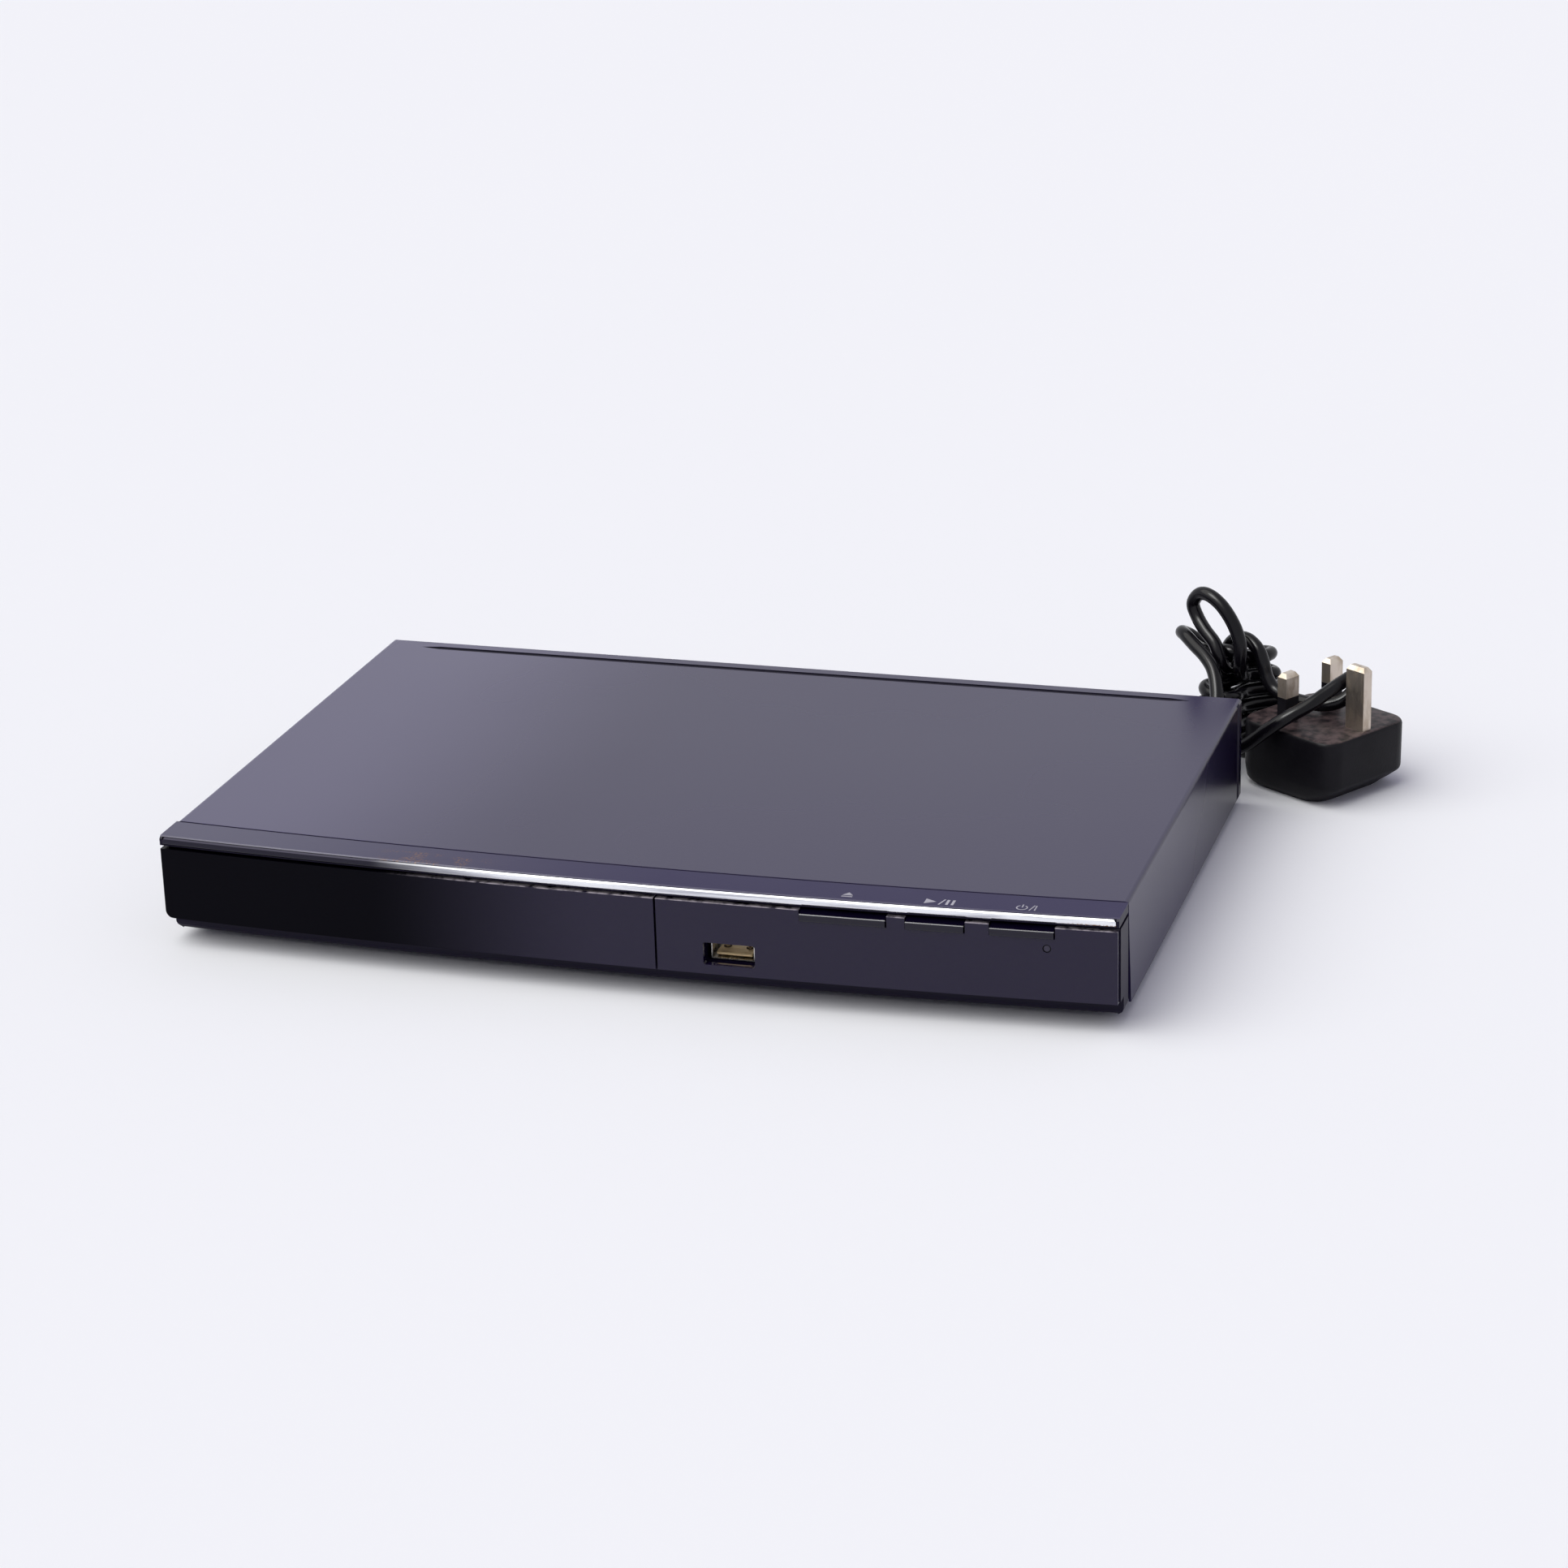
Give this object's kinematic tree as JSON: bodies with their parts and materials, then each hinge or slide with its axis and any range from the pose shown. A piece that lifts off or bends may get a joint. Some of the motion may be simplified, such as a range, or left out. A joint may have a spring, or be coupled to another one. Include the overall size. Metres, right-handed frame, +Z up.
{
  "type": "disc player",
  "caption": "Slim disc player with a motor-driven front tray, belt loader, pickup on guide rods, push buttons, rear sockets and a bundled mains lead with plug.",
  "frame": {"origin": "on the floor under the centre of the player's case, cord and plug left out", "axes": "+X to the viewer's right along the front, +Y from the front to the rear, +Z up"},
  "size_m": [0.3607, 0.2707, 0.0632],
  "materials": {
    "cover_paint": "satin grey-violet paint on folded sheet steel",
    "zinc_sheet": "zinc-plated sheet steel, bare inside",
    "rear_paint": "satin black paint",
    "black_moulding": "gloss black moulding",
    "lip_plastic": "fine-grained dark grey plastic",
    "bright_strip": "bright vacuum-plated strip",
    "foot_rubber": "matt black rubber",
    "fastener_steel": "blackened steel",
    "tray_plastic": "matt black plastic",
    "loader_plastic": "matt black plastic",
    "white_plastic": "natural acetal",
    "motor_steel": "drawn steel can",
    "belt_rubber": "square black rubber belt",
    "rod_steel": "ground bright steel",
    "lens_glass": "coated plastic lens",
    "board_laminate": "tan paper laminate with green mask",
    "component_black": "black moulded packages",
    "lamp_lens": "dark red translucent lens",
    "sensor_plastic": "infrared-passing plastic",
    "nickel_shell": "nickel-plated steel",
    "transformer_core": "ferrite core with yellow tape",
    "capacitor_sleeve": "dark shrink sleeve",
    "sink_aluminium": "extruded aluminium",
    "cable_plastic": "white flat cable",
    "wire_insulation": "coloured wire insulation",
    "cord_rubber": "black flexible sheath",
    "plug_plastic": "black moulded plug",
    "pin_brass": "bright pins, dulled"
  },
  "bodies": {
    "case": {"top_cover": "cover_paint", "bottom_chassis": "zinc_sheet", "rear_panel": "rear_paint", "front_fascia": "lip_plastic", "face_plate": "black_moulding", "trim_strip": "bright_strip", "rubber_feet": "foot_rubber", "cover_screws": "fastener_steel", "chassis_screws": "fastener_steel", "loader_frame": "loader_plastic", "clamper_bridge": "zinc_sheet", "loading_motor": "motor_steel", "drive_belt": "belt_rubber", "pivot_bushes": "foot_rubber", "front_board": "board_laminate", "tact_switches": "component_black", "status_lamp": "lamp_lens", "remote_sensor": "sensor_plastic", "usb_shell": "nickel_shell", "usb_tongue": "component_black", "main_board": "board_laminate", "main_chips": "component_black", "power_board": "board_laminate", "transformer": "transformer_core", "capacitors": "capacitor_sleeve", "heat_sink": "sink_aluminium", "ribbon_cable": "cable_plastic", "supply_wires": "wire_insulation", "av_socket": "component_black", "phono_sockets": "component_black", "strain_relief": "cord_rubber", "mains_cord": "cord_rubber", "cord_bundle": "cord_rubber", "cord_tail": "cord_rubber", "plug_body": "plug_plastic", "plug_line_pins": "pin_brass", "plug_pin_sleeves": "plug_plastic", "plug_earth_pin": "pin_brass"},
    "tray": {"disc_tray": "tray_plastic", "tray_door": "black_moulding"},
    "drive_gear": {"tray_drive_gear": "white_plastic"},
    "belt_wheel_spin": {"belt_wheel": "white_plastic"},
    "pulley": {"motor_pulley": "white_plastic"},
    "cam": {"cam_slider": "white_plastic"},
    "traverse": {"traverse_frame": "loader_plastic", "guide_rods": "rod_steel", "spindle_motor": "motor_steel", "sled_motor": "motor_steel"},
    "turntable_rotor": {"turntable": "tray_plastic"},
    "clamp_disc": {"clamper": "tray_plastic"},
    "sled": {"pickup_sled": "loader_plastic", "objective_lens": "lens_glass"},
    "sled_screw": {"lead_screw": "rod_steel"},
    "button_open_close": {"open_close_button": "black_moulding"},
    "button_play": {"play_button": "black_moulding"},
    "button_standby": {"standby_button": "black_moulding"}
  },
  "joints": [
    {"name": "tray_slide", "type": "slide", "parent": "case", "child": "tray", "axis": [0, -1, 0], "range_m": [0, 0.13823]},
    {"name": "drive_gear_spin", "type": "hinge", "parent": "case", "child": "drive_gear", "pos_m": [-0.0299, -0.076, 0.018], "axis": [0, 0, 1], "range_deg": [0, 990.5]},
    {"name": "belt_wheel_turn", "type": "hinge", "parent": "case", "child": "belt_wheel_spin", "pos_m": [-0.00875, -0.06994, 0.016], "axis": [0, 0, 1], "range_deg": [-2641, 0]},
    {"name": "pulley_turn", "type": "hinge", "parent": "case", "child": "pulley", "pos_m": [-0.0185, -0.03394, 0.018], "axis": [0, 0, 1], "range_deg": [-8429.3, 0]},
    {"name": "traverse_tilt", "type": "hinge", "parent": "case", "child": "traverse", "pos_m": [-0.0719, 0.06, 0.0115], "axis": [1, 0, 0], "range_deg": [0, 2.6]},
    {"name": "cam_shift", "type": "slide", "parent": "case", "child": "cam", "axis": [1, 0, 0], "range_m": [0, 0.01501]},
    {"name": "sled_travel", "type": "slide", "parent": "traverse", "child": "sled", "axis": [0, 1, 0], "range_m": [0, 0.036]},
    {"name": "screw_turn", "type": "hinge", "parent": "traverse", "child": "sled_screw", "pos_m": [-0.0514, 0.03, 0.0155], "axis": [0, 1, 0], "range_deg": [0, 4321]},
    {"name": "turntable_spin", "type": "hinge", "parent": "traverse", "child": "turntable_rotor", "pos_m": [-0.0719, -0.029, 0.02], "axis": [0, 0, 1], "continuous": true},
    {"name": "clamper_spin", "type": "hinge", "parent": "case", "child": "clamp_disc", "pos_m": [-0.0719, -0.029, 0.029], "axis": [0, 0, 1], "continuous": true},
    {"name": "open_close_press", "type": "slide", "parent": "case", "child": "button_open_close", "axis": [0, 1, 0], "range_m": [0, 0.0006], "stiffness_N_per_m": 600},
    {"name": "play_press", "type": "slide", "parent": "case", "child": "button_play", "axis": [0, 1, 0], "range_m": [0, 0.0006], "stiffness_N_per_m": 600},
    {"name": "standby_press", "type": "slide", "parent": "case", "child": "button_standby", "axis": [0, 1, 0], "range_m": [0, 0.0006], "stiffness_N_per_m": 600}
  ],
  "couplings": [
    {"joint": "drive_gear_spin", "follows": "tray_slide", "rad_per_m": 125},
    {"joint": "belt_wheel_turn", "follows": "tray_slide", "rad_per_m": -333.33},
    {"joint": "pulley_turn", "follows": "tray_slide", "rad_per_m": -1063.9},
    {"joint": "cam_shift", "follows": "traverse_tilt", "m_per_rad": 0.33055},
    {"joint": "screw_turn", "follows": "sled_travel", "rad_per_m": 2094.4},
    {"joint": "clamper_spin", "follows": "turntable_spin", "ratio": 1}
  ]
}
